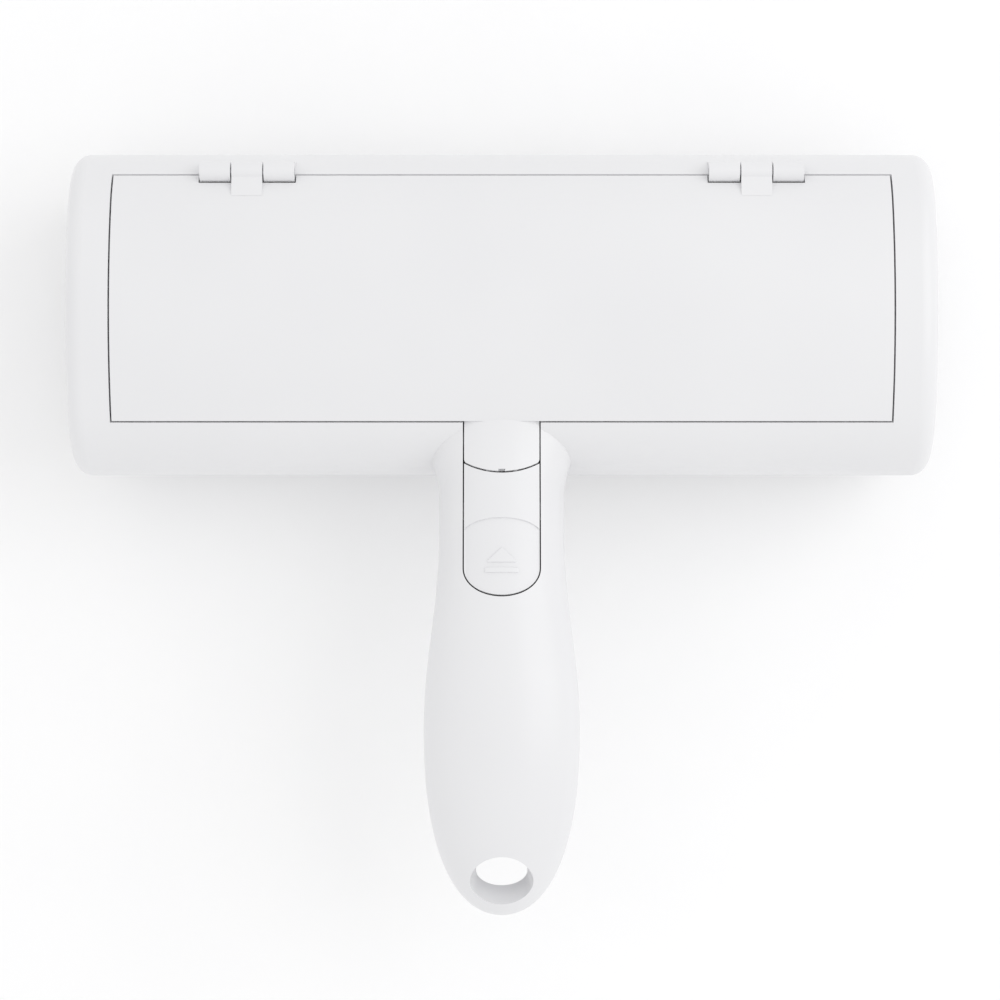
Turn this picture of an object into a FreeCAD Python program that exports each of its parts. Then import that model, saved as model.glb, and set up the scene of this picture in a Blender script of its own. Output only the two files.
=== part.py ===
import FreeCAD, Part
import functools
import math
import os
from FreeCAD import Vector

# Reusable pet hair removal brush: a wide hollow head with a rocking, pile-covered drum in its mouth,
# a hair chamber under a hinged lid, and an arched handle with a thumb release and a hanging hole.
# Millimetres. +X runs along the head, the handle points to -Y, +Z is up, and the pile rests on z = 0.
# Inside this script Y = 0 is the middle of the head; the finished pieces are moved so that the origin
# is at the middle of the brush's footprint.

# Head, seen along X as a dome of tangent arcs
head_length = 198.0
head_depth = 74.5
head_height = 60.0
crown_radius = 70.0
shoulder_radius = 20.0
flank_radius = 80.0
wall = 2.2
rim_height = 3.0
lip_thickness = 2.0
mouth_width = 37.0
cap_length = 10.0
cap_edge_radius = 4.0
bulkhead_thickness = 2.4
peg_radius = 1.6
peg_clearance = 0.05
peg_spread = 19.0
peg_low = 14.0
peg_high = 46.0
neck_pad_radius = 3.8
neck_pad_height = 1.8

# Lid over the hair chamber, with its hinge along the front shoulder
lid_front_angle = 46.0
lid_rear_angle = 21.0
seam = 0.4
lid_rest_gap = 0.2
lid_rib_thickness = 1.4
lid_rib_height = 1.6
lid_rib_pitch = 34.0
lid_rib_count = 4
hinge_rise = 1.0
knuckle_radius = 2.3
knuckle_length = 7.0
knuckle_gap = 0.3
knuckle_foot = 6.0
hinge_share = 0.293
hinge_pin_radius = 1.0
running_clearance = 0.05

# Rocking drum
drum_radius = 31.0
pile_thickness = 2.0
drum_wall = 2.0
drum_half_angle = 60.5
drum_end_gap = 0.8
drum_end_thickness = 2.0
drum_rib_thickness = 1.6
drum_rib_height = 7.0
drum_rib_pitch = 42.0
drum_rib_count = 3
pile_edge_angle = 2.6
centre_rib_width = 2.2
pile_edge_gap = 0.15
keeper_height = 1.2
hub_radius = 4.5
hub_length = 6.0
axle_radius = 1.5
axle_reach = 5.0
rock_limit = 22.0
stop_radius = 1.5
stop_orbit = 22.0
stop_play = 0.4

# Pile strips along both edges of the mouth
strip_width = 10.0
strip_backing = 0.7
strip_backing_overhang = 0.5
strip_edge_radius = 0.9
strip_end_gap = 3.0

# Handle: an arched centreline with elliptical sections
handle_start_y = -18.0
handle_start_z = 41.3
handle_length = 121.2
handle_rise = 20.0
handle_droop = 12.0
neck_width = 28.6
bulge_width = 35.5
neck_thickness = 21.2
bulge_thickness = 23.0
neck_end = 35.0
bulge_share = 0.648515
tip_fullness = 2.3
tip_bluntness = 2.8
flare_length = 27.0
flare_spread = 12.0
flare_swell = 2.0
handle_wall = 2.2
parting_gap = 0.12

# Hanging hole straight down through the end of the handle: an oval waist, a mouth above it
# that is dished towards the tip, and a draft below it
hang_from_tip = 10.2
hang_width = 11.7
hang_height = 7.0
hang_waist = 1.0
hang_wall = 1.8
hang_tip_fill = 1.9
dish_rise = 10.5
dish_width = 16.2
dish_length = 15.7
dish_shift = 3.8
draft_drop = 12.0
draft_width = 13.0
draft_length = 9.6
draft_shift = 0.65

# Thumb release, measured along the handle from the middle of its front edge
button_front_y = -36.8
button_length = 27.9
button_width = 17.1
button_front_sag = 2.5
button_end_rise = 6.3
button_side_gap = 0.3
button_end_gap = 0.45
button_wall = 2.0
pad_length = 17.6
pad_step = 0.35
pad_arch = 3.4
notch_width = 1.5
notch_depth = 0.5
tongue_corner = 1.2
tongue_root = 12.5
tongue_room_depth = 4.9
pivot_at = 8.0
pivot_depth = 5.9
pivot_radius = 0.9
pivot_boss_radius = 2.0
pivot_boss_width = 12.4
ear_thickness = 1.8
ear_height = 3.8

# Latch slide, its spring and the catch under the lid's tongue
catch_width = 7.0
catch_thickness = 1.4
catch_depth = 6.2
catch_nose = 1.2
catch_nose_height = 1.0
catch_setback = 0.6
latch_width = 10.0
latch_thickness = 2.0
latch_depth = 9.0
latch_front = 3.5
latch_arm_width = 6.0
latch_arm_thickness = 1.5
latch_overlap = 0.7
latch_nose_height = 1.0
latch_play = 0.3
ramp_at = 21.0
ramp_height = 3.4
ramp_back = 1.0
ramp_clearance = 0.2
finger_width = 5.0
finger_length = 2.5
finger_depth = 7.7
finger_chamfer = 0.8
guide_thickness = 1.6
guide_floor = 1.2
spring_radius = 2.2
spring_wire = 0.5
spring_length = 6.6
spring_turns = 5
spring_seat = 1.6
spring_peg_radius = 1.2
spring_peg_length = 2.0
spring_drop = 0.9

# Screws
screw_radius = 1.4
screw_length = 11.0
screw_head_radius = 2.7
screw_head_height = 1.7
screw_hole_clearance = 0.2
screw_recess_clearance = 0.4
screw_front_at = 62.0
screw_rear_from_tip = 29.2
boss_wall = 1.8
boss_seat = 1.8
neck_screw_spread = 4.4
neck_screw_height = 41.5
neck_screw_length = 12.0
slot_width = 0.7
slot_depth = 0.8

# Worked out from the sizes above
half_depth = head_depth / 2
hinge_spread = hinge_share * head_length
bulge_at = bulge_share * handle_length
hang_at = handle_length - hang_from_tip
screw_rear_at = handle_length - screw_rear_from_tip
crown_z = head_height - crown_radius
shoulder_y = half_depth - shoulder_radius
shoulder_z = crown_z + math.sqrt((crown_radius - shoulder_radius) ** 2 - shoulder_y ** 2)
tub_length = head_length - 2 * cap_length
chamber_length = tub_length - 2 * bulkhead_thickness
lid_length = tub_length - 2 * seam
drum_length = chamber_length - 2 * drum_end_gap
core_radius = drum_radius - pile_thickness
handle_arc = math.radians(handle_rise + handle_droop)
handle_radius = handle_length / handle_arc
handle_rise_angle = math.radians(handle_rise)
arc_centre = Vector(
    0,
    handle_start_y - handle_radius * math.sin(handle_rise_angle),
    handle_start_z - handle_radius * math.cos(handle_rise_angle),
)
tip_angle = handle_rise_angle - handle_arc
tip_y = arc_centre.y + handle_radius * math.sin(tip_angle)
footprint_mid_y = (half_depth + tip_y) / 2
far = 200.0


# Small helpers

def yz(y, z, x=0.0):
    return Vector(x, y, z)


def arc(a, through, b):
    return Part.Arc(a, through, b).toShape()


def line(a, b):
    return Part.LineSegment(a, b).toShape()


def polygon_prism(points, direction):
    return Part.Face(Part.makePolygon(points + [points[0]])).extrude(direction)


def along_x(face, length):
    """A face in the plane x = 0, extruded to both sides of it."""
    moved = face.copy()
    moved.translate(Vector(-length / 2, 0, 0))
    return moved.extrude(Vector(length, 0, 0))


def cylinder_x(radius, length, centre_x, y, z):
    return Part.makeCylinder(radius, length, Vector(centre_x - length / 2, y, z), Vector(1, 0, 0))


def box(low, high):
    size = high - low
    return Part.makeBox(size.x, size.y, size.z, low)


def mirrored(shape):
    """The same shape on the other side of x = 0."""
    return shape.mirror(Vector(0, 0, 0), Vector(1, 0, 0))


def polar(centre_y, centre_z, radius, degrees):
    """A point at an angle measured from straight down, towards +Y."""
    angle = math.radians(degrees)
    return yz(centre_y + radius * math.sin(angle), centre_z - radius * math.cos(angle))


# Head

def head_face(inset, bottom_z):
    """The head's section, moved in by inset and cut off flat at bottom_z."""
    crown = crown_radius - inset
    shoulder = shoulder_radius - inset
    flank = flank_radius - inset
    lean = math.atan2(shoulder_y, shoulder_z - crown_z)
    top = yz(0, crown_z + crown)
    crown_end = yz(crown * math.sin(lean), crown_z + crown * math.cos(lean))
    half_way = (math.pi / 2 - lean) / 2
    shoulder_mid = yz(
        shoulder_y + shoulder * math.cos(half_way),
        shoulder_z + shoulder * math.sin(half_way),
    )
    shoulder_end = yz(shoulder_y + shoulder, shoulder_z)
    tuck = math.asin((shoulder_z - bottom_z) / flank)
    flank_y = half_depth - flank_radius
    flank_mid = yz(
        flank_y + flank * math.cos(tuck / 2), shoulder_z - flank * math.sin(tuck / 2)
    )
    foot = yz(flank_y + flank * math.cos(tuck), bottom_z)

    def back(point):
        return yz(-point.y, point.z)

    edges = [
        arc(foot, flank_mid, shoulder_end),
        arc(shoulder_end, shoulder_mid, crown_end),
        arc(crown_end, top, back(crown_end)),
        arc(back(crown_end), back(shoulder_mid), back(shoulder_end)),
        arc(back(shoulder_end), back(flank_mid), back(foot)),
        line(back(foot), foot),
    ]
    return Part.Face(Part.Wire(edges))


def head_prism(inset, bottom_z, length):
    return along_x(head_face(inset, bottom_z), length)


def lid_wedge(grow, length):
    """The sector of the head that the lid covers, widened by grow at its front and rear edges."""
    rear = math.radians(lid_rear_angle)
    front = math.radians(lid_front_angle)
    rear_out = yz(-math.sin(rear), math.cos(rear)) * far
    rear_side = yz(-math.cos(rear), -math.sin(rear)) * grow
    front_out = yz(math.cos(front), math.sin(front)) * far
    front_side = yz(math.sin(front), -math.cos(front)) * grow
    crown = yz(0, crown_z)
    shoulder = yz(shoulder_y, shoulder_z)
    points = [
        crown + rear_side,
        crown + rear_out + rear_side,
        shoulder + front_out + front_side,
        shoulder + front_side,
    ]
    face = Part.Face(Part.makePolygon(points + [points[0]]))
    return along_x(face, length)


def hinge_axis():
    angle = math.radians(lid_front_angle)
    reach = shoulder_radius + hinge_rise
    return yz(shoulder_y + reach * math.cos(angle), shoulder_z + reach * math.sin(angle))


def knuckle(centre_x, length, side):
    """One hinge barrel with a foot that runs onto the shell; side is 1 for the lid, -1 for the head."""
    axis = hinge_axis()
    angle = math.radians(lid_front_angle)
    out = yz(math.cos(angle), math.sin(angle))
    along = yz(-math.sin(angle), math.cos(angle)) * side
    barrel = cylinder_x(knuckle_radius, length, centre_x, axis.y, axis.z)
    foot = [
        axis + out * knuckle_radius * 0.85,
        axis + along * knuckle_foot - out * (hinge_rise + 0.4 * wall),
        axis - out * (hinge_rise + 0.8 * wall),
    ]
    face = Part.Face(Part.makePolygon(foot + [foot[0]]))
    web = along_x(face, length)
    web.translate(Vector(centre_x, 0, 0))
    return barrel.fuse(web)


def knuckle_room(centre_x, length):
    axis = hinge_axis()
    return cylinder_x(
        knuckle_radius + seam, length + 2 * knuckle_gap, centre_x, axis.y, axis.z
    )


def hinge_stations(sign):
    """Middle of the lid's barrel and of the two head barrels beside it."""
    step = knuckle_length + knuckle_gap
    middle = sign * hinge_spread
    return middle, (middle - step, middle + step)


def hinge_bore():
    axis = hinge_axis()
    radius = hinge_pin_radius + running_clearance
    return cylinder_x(radius, head_length, 0, axis.y, axis.z)


def hinge_pin(sign):
    axis = hinge_axis()
    length = 3 * knuckle_length + 2 * knuckle_gap
    return cylinder_x(hinge_pin_radius, length, sign * hinge_spread, axis.y, axis.z)


def bulkhead_pegs(radius, near, far_end):
    """Three round pegs that hold an end cap, between two distances from the middle of the head."""
    spots = [(-peg_spread, peg_low), (peg_spread, peg_low), (0, peg_high)]
    length = far_end - near
    pegs = [cylinder_x(radius, length, near + length / 2, y, z) for y, z in spots]
    return pegs[0].fuse(pegs[1:])


def head_housing(tongue_room):
    floor_z = rim_height + lip_thickness
    shell = head_prism(0, rim_height, tub_length)
    shell = shell.cut(head_prism(wall, floor_z, chamber_length))
    mouth = box(
        Vector(-chamber_length / 2, -mouth_width / 2, 0),
        Vector(chamber_length / 2, mouth_width / 2, floor_z + 1),
    )
    lid_room = lid_wedge(seam, tub_length + 2).cut(
        head_prism(wall + lid_rest_gap, rim_height, tub_length + 4)
    )
    shell = shell.cut([mouth, lid_room, tongue_room])
    for sign in (-1, 1):
        lid_x, head_xs = hinge_stations(sign)
        shell = shell.cut(knuckle_room(lid_x, knuckle_length))
        shell = shell.fuse([knuckle(x, knuckle_length, -1) for x in head_xs])
    inner = chamber_length / 2
    outer = tub_length / 2
    peg_holes = bulkhead_pegs(peg_radius + peg_clearance, inner - 1, outer + 1)
    boss = cylinder_x(
        axle_radius + wall, axle_reach - bulkhead_thickness,
        outer + (axle_reach - bulkhead_thickness) / 2, 0, drum_radius,
    )
    axle_hole = cylinder_x(axle_radius, head_length, 0, 0, drum_radius)
    stop_length = drum_end_gap + drum_end_thickness
    stop_turn = math.degrees(math.asin(stop_radius / stop_orbit))
    stop_angle = drum_half_angle + rock_limit + stop_turn
    for sign in (-1, 1):
        side = [boss]
        for edge in (-1, 1):
            spot = polar(0, drum_radius, stop_orbit, edge * stop_angle)
            spot.z += stop_play
            side.append(
                cylinder_x(
                    stop_radius, stop_length + 0.5,
                    inner - stop_length / 2 + 0.25, spot.y, spot.z,
                )
            )
        holes = peg_holes
        if sign < 0:
            side = [mirrored(piece) for piece in side]
            holes = mirrored(peg_holes)
        shell = shell.fuse(side).cut(holes)
    pads = []
    holes = [axle_hole, hinge_bore()]
    for x in (-neck_screw_spread, neck_screw_spread):
        pads.append(neck_along_y(x, neck_pad_radius, wall / 2, wall + neck_pad_height))
        holes.append(neck_along_y(x, screw_radius + screw_hole_clearance, -wall, 4 * wall))
    return shell.fuse(pads).cut(holes)


def end_cap():
    """The right-hand cap; the left one is its mirror image."""
    cap = head_prism(0, rim_height, cap_length)
    cap.translate(Vector((tub_length + cap_length) / 2, 0, 0))
    end_x = head_length / 2
    rim = [
        edge for edge in cap.Edges
        if abs(edge.BoundBox.XMin - end_x) < 1e-3 and abs(edge.BoundBox.XMax - end_x) < 1e-3
    ]
    cap = cap.makeFillet(min(cap_edge_radius, 0.8 * cap_length), rim)
    hollow = head_prism(wall, rim_height + wall, cap_length - wall)
    hollow.translate(Vector((tub_length + cap_length - wall) / 2, 0, 0))
    cap = cap.cut(hollow)
    pegs = bulkhead_pegs(peg_radius, chamber_length / 2, head_length / 2 - wall / 2)
    return cap.fuse(pegs)


def drum_axle():
    """The right-hand axle, through the bulkhead and into the drum's hub."""
    start = drum_length / 2 - hub_length
    end = tub_length / 2 + axle_reach - bulkhead_thickness
    return cylinder_x(axle_radius, end - start, (start + end) / 2, 0, drum_radius)


# Edge strips

def lip_outer_y():
    """Where the outer wall meets the lips' underside."""
    flank_y = half_depth - flank_radius
    return flank_y + math.sqrt(flank_radius ** 2 - (shoulder_z - rim_height) ** 2)


def edge_strip(side):
    """Pile on a thin backing, glued under one lip."""
    middle = side * (mouth_width / 2 + lip_outer_y()) / 2
    half = strip_width / 2
    length = chamber_length - 2 * strip_end_gap
    backing = box(
        Vector(-length / 2, middle - half - strip_backing_overhang, rim_height - strip_backing),
        Vector(length / 2, middle + half + strip_backing_overhang, rim_height),
    )
    pile = box(
        Vector(-length / 2, middle - half, 0),
        Vector(length / 2, middle + half, rim_height - strip_backing / 2),
    )
    low_edges = [edge for edge in pile.Edges if edge.BoundBox.ZMax < 1e-3]
    pile = pile.makeFillet(strip_edge_radius, low_edges)
    return backing.fuse(pile)


# Drum

def ring_sector(inner, outer, start, end, length, centre_x=0.0):
    """Part of a tube about the drum's axis, between two angles measured from straight down."""
    middle = (start + end) / 2

    def at(radius, degrees):
        return polar(0, drum_radius, radius, degrees)

    edges = [
        arc(at(outer, start), at(outer, middle), at(outer, end)),
        line(at(outer, end), at(inner, end)),
        arc(at(inner, end), at(inner, middle), at(inner, start)),
        line(at(inner, start), at(outer, start)),
    ]
    solid = along_x(Part.Face(Part.Wire(edges)), length)
    solid.translate(Vector(centre_x, 0, 0))
    return solid


def drum_core():
    limit = drum_half_angle
    keeper = core_radius + keeper_height
    rib_half = math.degrees(centre_rib_width / 2 / core_radius)
    skin_inner = core_radius - drum_wall
    core = ring_sector(skin_inner, core_radius, -limit, limit, drum_length)
    added = [
        ring_sector(skin_inner + 0.5, keeper, -rib_half, rib_half, drum_length),
        ring_sector(skin_inner + 0.5, keeper, limit - pile_edge_angle, limit, drum_length),
        ring_sector(skin_inner + 0.5, keeper, -limit, pile_edge_angle - limit, drum_length),
    ]
    first = -drum_rib_pitch * (drum_rib_count - 1) / 2
    for index in range(drum_rib_count):
        added.append(
            ring_sector(
                skin_inner - drum_rib_height, skin_inner + 0.5, -limit + 8, limit - 8,
                drum_rib_thickness, first + index * drum_rib_pitch,
            )
        )
    plate_x = (drum_length - drum_end_thickness) / 2
    hub_x = (drum_length - hub_length) / 2
    for sign in (-1, 1):
        added.append(
            ring_sector(
                hub_radius - 1.0, core_radius, -limit, limit, drum_end_thickness, sign * plate_x
            )
        )
        added.append(cylinder_x(hub_radius, hub_length, sign * hub_x, 0, drum_radius))
    bore = cylinder_x(axle_radius + running_clearance, head_length, 0, 0, drum_radius)
    return core.fuse(added).cut(bore)


def drum_pile(side):
    """One half of the drum's pile, between the centre rib and the edge keeper."""
    gap = math.degrees(pile_edge_gap / core_radius)
    start = math.degrees(centre_rib_width / 2 / core_radius) + gap
    end = drum_half_angle - pile_edge_angle - gap
    return ring_sector(core_radius, drum_radius, side * start, side * end, drum_length)


# Handle

def handle_angle(s):
    return handle_rise_angle - s / handle_radius


def handle_normal(s):
    angle = handle_angle(s)
    return yz(math.sin(angle), math.cos(angle))


def handle_centre(s):
    return arc_centre + handle_normal(s) * handle_radius


def section_size(s, inset):
    """Half width and half thickness of the handle at a distance along its centreline."""
    tip_length = handle_length - bulge_at - inset
    if s <= bulge_at:
        way = max(0.0, s - neck_end) / (bulge_at - neck_end)
        share = (1 - math.cos(math.pi * way)) / 2
        flare = max(0.0, 1 - s / flare_length) ** 2
        width = neck_width + (bulge_width - neck_width) * share
        thickness = neck_thickness + (bulge_thickness - neck_thickness) * share
        return (
            width / 2 + flare_spread * flare - inset,
            thickness / 2 + flare_swell * flare - inset,
        )
    way = (s - bulge_at) / tip_length
    across = (1 - way ** tip_fullness) ** (1 / tip_fullness)
    upright = (1 - way ** tip_bluntness) ** (1 / tip_bluntness)
    half_width = (bulge_width / 2 - inset) * across
    return half_width, min((bulge_thickness / 2 - inset) * upright, 0.97 * half_width)


def handle_section(s, inset):
    half_width, half_thickness = section_size(s, inset)
    centre = handle_centre(s)
    ellipse = Part.Ellipse(
        centre + Vector(half_width, 0, 0),
        centre + handle_normal(s) * half_thickness,
        centre,
    )
    return Part.Wire(ellipse.toShape())


@functools.lru_cache(maxsize=None)
def handle_loft(inset):
    """The solid handle, moved in by inset, from inside the head to its rounded tip."""
    neck_steps = 12
    stations = [bulge_at * index / neck_steps for index in range(neck_steps + 1)]
    stations[0] = -inset
    tip_length = handle_length - bulge_at - inset
    for degrees in (10, 20, 30, 40, 49, 57, 64.5, 71, 77, 82, 86):
        stations.append(bulge_at + tip_length * math.sin(math.radians(degrees)))
    return Part.makeLoft([handle_section(s, inset) for s in stations], True, False)


def parting_cylinder(offset):
    """Everything below the handle's parting surface, moved up by offset."""
    return Part.makeCylinder(
        handle_radius + offset, 2 * far,
        Vector(-far, arc_centre.y, arc_centre.z), Vector(1, 0, 0),
    )


def hang_oval(width, length, lift, shift):
    """A level ellipse about the hanging hole, lifted above the centreline and shifted to the tip."""
    centre = handle_centre(hang_at) + yz(-shift, lift)
    return Part.Wire(
        Part.Ellipse(
            centre + Vector(width / 2, 0, 0), centre + yz(-length / 2, 0), centre
        ).toShape()
    )


def hang_hole():
    """What the hanging hole takes away, above its waist and below it."""
    waist = hang_oval(hang_width, hang_height, hang_waist, 0.0)
    mouth = hang_oval(dish_width, dish_length, hang_waist + dish_rise, dish_shift)
    outlet = hang_oval(draft_width, draft_length, hang_waist - draft_drop, draft_shift)
    return [Part.makeLoft([waist, mouth], True, True), Part.makeLoft([outlet, waist], True, True)]


def hang_tube():
    """The wall round the hanging hole inside the handle, solid from there to the tip."""
    width = draft_width + 2 * hang_wall
    length = draft_length + 2 * hang_wall + hang_tip_fill
    ring = hang_oval(width, length, -bulge_thickness, draft_shift + hang_tip_fill / 2)
    return Part.Face(ring).extrude(yz(0, 2 * bulge_thickness))


def radial(s, radius, low, high):
    """A cylinder along the handle's normal, between two heights about the centreline."""
    start = handle_centre(s) + handle_normal(s) * low
    return Part.makeCylinder(radius, high - low, start, handle_normal(s))


def screw_spots():
    return (screw_front_at, screw_rear_at)


def screw_seat(s):
    """Height of the screw head's seat, below the centreline."""
    return -boss_seat


# The button's own frame: its origin lies on the handle's top at the middle of its front edge,
# b runs towards the tip along the chord, and n points out of the handle.

def surface_top(y):
    """Height of the handle's upper surface over the middle line, at a given Y."""
    low, high = 0.0, bulge_at
    for _ in range(60):
        s = (low + high) / 2
        point = handle_centre(s) + handle_normal(s) * section_size(s, 0)[1]
        if point.y > y:
            low = s
        else:
            high = s
    return point.z


front_top_z = surface_top(button_front_y)
rear_top_z = surface_top(button_front_y - button_length)
chord_angle = math.atan2(rear_top_z - front_top_z, button_length)
chord = yz(-math.cos(chord_angle), math.sin(chord_angle))
chord_normal = yz(math.sin(chord_angle), math.cos(chord_angle))
button_origin = yz(button_front_y, front_top_z)


def local(x, b, n):
    return button_origin + Vector(x, 0, 0) + chord * b + chord_normal * n


def local_block(half_width, b_low, b_high, n_low, n_high, centre_x=0.0):
    left = centre_x - half_width
    points = [
        local(left, b_low, n_low), local(left, b_high, n_low),
        local(left, b_high, n_high), local(left, b_low, n_high),
    ]
    return polygon_prism(points, Vector(2 * half_width, 0, 0))


def local_profile(points, half_width):
    """A prism across the handle from (b, n) points."""
    return polygon_prism(
        [local(-half_width, b, n) for b, n in points], Vector(2 * half_width, 0, 0)
    )


def local_pin(radius, half_length, b, n):
    return Part.makeCylinder(
        radius, 2 * half_length, local(-half_length, b, n), Vector(1, 0, 0)
    )


def half_oval(half_width, rise, b, n):
    """Half an ellipse in the release's plane, from one side to the other. A negative rise faces the head."""
    ellipse = Part.Ellipse(local(half_width, b, n), local(0, b + rise, n), local(0, b, n))
    return Part.Arc(ellipse, 0, math.pi).toShape()


def panel_prism(side_gap, end_gap, n_low, n_high):
    """The release's outline: concave front edge, straight sides and a rounded end."""
    half = button_width / 2 + side_gap
    side_end = button_length - button_end_rise
    front = -button_front_sag - end_gap

    def at(x, b):
        return local(x, b, n_low)

    edges = [
        arc(at(-half, front), at(0, -end_gap), at(half, front)),
        line(at(half, front), at(half, side_end)),
        half_oval(half, button_end_rise + end_gap, side_end, n_low),
        line(at(-half, side_end), at(-half, front)),
    ]
    return Part.Face(Part.Wire(edges)).extrude(chord_normal * (n_high - n_low))


def tongue_prism(side_gap, end_gap, n_low, n_high):
    """The lid's tongue, whose convex end follows the release's front edge."""
    half = button_width / 2 + side_gap
    root = -button_front_sag - tongue_root
    tip = -seam + end_gap
    corner = -button_front_sag - seam + end_gap

    def at(x, b):
        return local(x, b, n_low)

    edges = [
        arc(at(-half, corner), at(0, tip), at(half, corner)),
        line(at(half, corner), at(half, root)),
        line(at(half, root), at(-half, root)),
        line(at(-half, root), at(-half, corner)),
    ]
    prism = Part.Face(Part.Wire(edges)).extrude(chord_normal * (n_high - n_low))
    corners = []
    for edge in prism.Edges:
        along = (edge.CenterOfMass - button_origin).dot(chord)
        upright = abs(edge.Length - (n_high - n_low)) < 1e-6
        if upright and along > root + 1:
            corners.append(edge)
    return prism.makeFillet(tongue_corner, corners)


def tongue_room():
    """Space for the lid's tongue and catch in the head's rear edge."""
    above = tongue_prism(button_side_gap, seam, -tongue_room_depth, 8)
    catch = local_block(
        catch_width / 2 + seam,
        -catch_setback - catch_thickness - seam, catch_nose,
        -catch_depth - seam, 0,
    )
    return above.fuse(catch)


def lid():
    plate = head_prism(0, rim_height, lid_length).cut(head_prism(wall, rim_height, head_length))
    plate = plate.common(lid_wedge(0, lid_length))
    ribs = []
    first = -lid_rib_pitch * (lid_rib_count - 1) / 2
    rib_ring = head_face(wall - 0.5, rim_height).cut(
        head_face(wall + lid_rib_height, rim_height - 1)
    )
    for index in range(lid_rib_count):
        rib = along_x(rib_ring, lid_rib_thickness)
        rib.translate(Vector(first + index * lid_rib_pitch, 0, 0))
        ribs.append(rib)
    wedge = lid_wedge(-2 * seam - wall, lid_length)
    plate = plate.fuse([rib.common(wedge) for rib in ribs])
    tongue = tongue_prism(0, 0, -1.5 * catch_depth, 8).common(handle_loft(0))
    notch = local_block(notch_width / 2, -seam - notch_depth, 1, -catch_depth, 8)
    tongue = tongue.cut([handle_loft(handle_wall), notch])
    catch_back = -catch_setback
    catch_front = -catch_setback - catch_thickness
    leg = local_profile(
        [
            (catch_front, -handle_wall / 2),
            (catch_back, -handle_wall / 2),
            (catch_back, -catch_depth + catch_nose_height),
            (catch_back + catch_nose, -catch_depth + catch_nose_height),
            (catch_back + catch_nose * 0.6, -catch_depth),
            (catch_front, -catch_depth),
        ],
        catch_width / 2,
    )
    shape = plate.fuse([tongue, leg])
    for sign in (-1, 1):
        lid_x, head_xs = hinge_stations(sign)
        shape = shape.cut([knuckle_room(x, knuckle_length) for x in head_xs])
        shape = shape.fuse(knuckle(lid_x, knuckle_length, 1))
    return shape.cut(hinge_bore())


def neck_along_y(x, radius, start, end):
    """A cylinder at a neck screw, between two distances in front of the rear wall's outer face."""
    return Part.makeCylinder(
        radius, end - start, Vector(x, neck_wall_y() + start, neck_screw_height), Vector(0, 1, 0)
    )


def neck_wall_y():
    """The rear wall's outer face at the neck screws' height."""
    rise = neck_screw_height - shoulder_z
    if rise >= 0:
        return -(shoulder_y + math.sqrt(shoulder_radius ** 2 - rise ** 2))
    return -(half_depth - flank_radius + math.sqrt(flank_radius ** 2 - rise ** 2))


def handle_upper_shell():
    shell = handle_loft(0).cut(handle_loft(handle_wall))
    shell = shell.cut(parting_cylinder(parting_gap / 2))
    slot = panel_prism(button_side_gap, button_end_gap, -7, 8)
    slot = slot.fuse(tongue_prism(button_side_gap, button_end_gap, -7, 8))
    shell = shell.cut(slot)
    inside = handle_loft(handle_wall / 2)
    upper = []
    ear_x = (pivot_boss_width / 2 + 0.4, pivot_boss_width / 2 + 0.4 + 4 * ear_thickness)
    ear_centre = (ear_x[0] + ear_x[1]) / 2
    for sign in (-1, 1):
        ear = local_block(
            (ear_x[1] - ear_x[0]) / 2, pivot_at - pivot_boss_radius, pivot_at + pivot_boss_radius,
            -pivot_depth - ear_height / 2 - 0.4, -pivot_depth + pivot_radius + 0.2,
            sign * ear_centre,
        )
        upper.append(ear.common(inside))
    for s in screw_spots():
        boss = radial(s, screw_radius + boss_wall, parting_gap / 2, bulge_thickness / 2)
        upper.append(boss.common(inside))
    upper.append(hang_tube().common(inside).cut(parting_cylinder(parting_gap / 2)))
    shell = shell.fuse(upper)
    holes = hang_hole()
    holes.append(local_pin(pivot_radius, pivot_half_length() + 0.2, pivot_at, -pivot_depth))
    holes.append(head_prism(0, rim_height, head_length))
    for s in screw_spots():
        holes.append(radial(s, screw_radius, -1, screw_length - boss_seat + 0.5))
    return shell.cut(holes)


def latch_guide():
    """Channel on the lower shell that carries the latch slide, with the spring's seat at its end."""
    outer = latch_width / 2 + latch_play + guide_thickness
    end = spring_seat_at() + spring_seat
    start = latch_front + 0.5
    floor_n = -latch_depth - latch_thickness - 0.1
    pieces = [local_block(outer, start, end, floor_n - guide_floor, floor_n)]
    for sign in (-1, 1):
        centre = sign * (outer - guide_thickness / 2)
        pieces.append(
            local_block(
                guide_thickness / 2, start, end, -2 * neck_thickness, -latch_depth - 0.2, centre
            )
        )
    seat = local_block(outer, end - spring_seat, end, -2 * neck_thickness, -spring_axis_depth() + spring_radius)
    pieces.append(seat)
    return pieces[0].fuse(pieces[1:])


def spring_axis_depth():
    return latch_depth - ramp_height / 2 + spring_drop


def spring_start():
    return ramp_at + ramp_height + ramp_back


def spring_seat_at():
    return spring_start() + spring_length


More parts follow.
